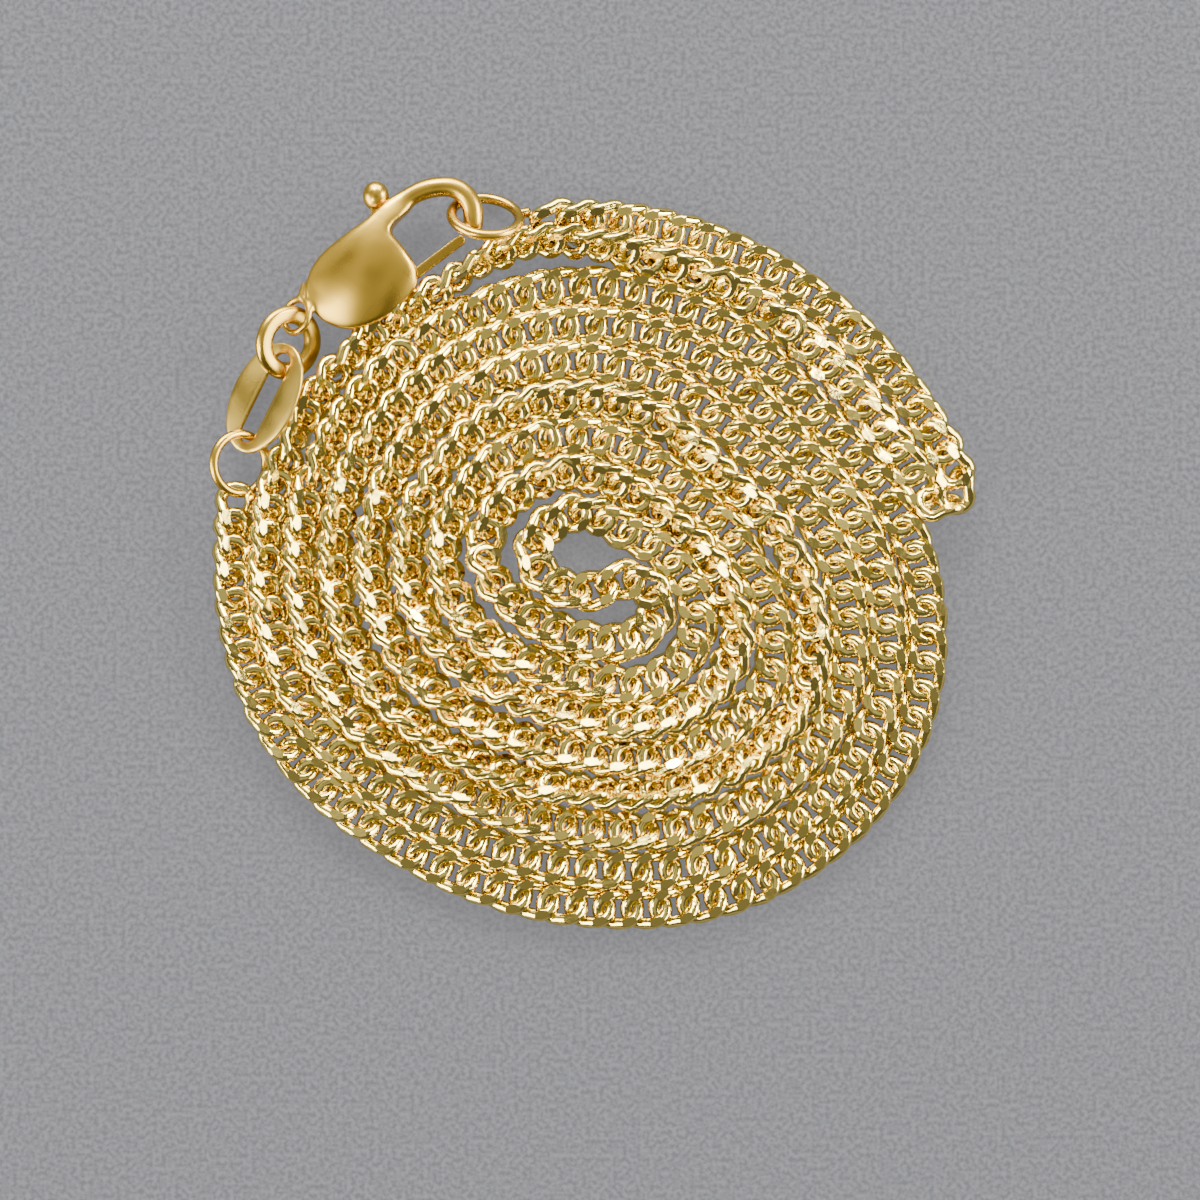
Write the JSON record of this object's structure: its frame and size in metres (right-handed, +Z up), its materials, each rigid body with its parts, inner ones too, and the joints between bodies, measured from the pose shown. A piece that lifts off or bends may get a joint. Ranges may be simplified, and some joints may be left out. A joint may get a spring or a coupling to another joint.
{
  "type": "curb chain necklace",
  "caption": "Fine gold curb chain necklace, folded double and laid in a flat coil, its lobster clasp hooked to the end ring, with a bare oval tag beside the clasp.",
  "frame": {"origin": "on the surface the necklace lies on, under the middle of its bounding box", "axes": "+Z up, away from the surface; the coil lies in X and Y, with the clasp towards -X +Y and the outer fold towards +X"},
  "size_m": [0.0338, 0.033, 0.0028],
  "materials": {
    "gold_links": null,
    "gold_polished": null
  },
  "bodies": {
    "necklace": {"chain": "gold_links", "clasp_body": "gold_polished", "hook_ring": "gold_polished", "tag_ring": "gold_polished", "tag": "gold_polished", "end_ring": "gold_polished"},
    "lever": {"clasp_lever": "gold_polished"}
  },
  "joints": [
    {"name": "lever_pivot", "type": "hinge", "parent": "necklace", "child": "lever", "pos_m": [-0.00907, 0.01191, 0.00117], "axis": [0, 0, 1], "range_deg": [0, 18], "stiffness_Nm_per_rad": 0.01, "springref_deg": -20.05}
  ]
}
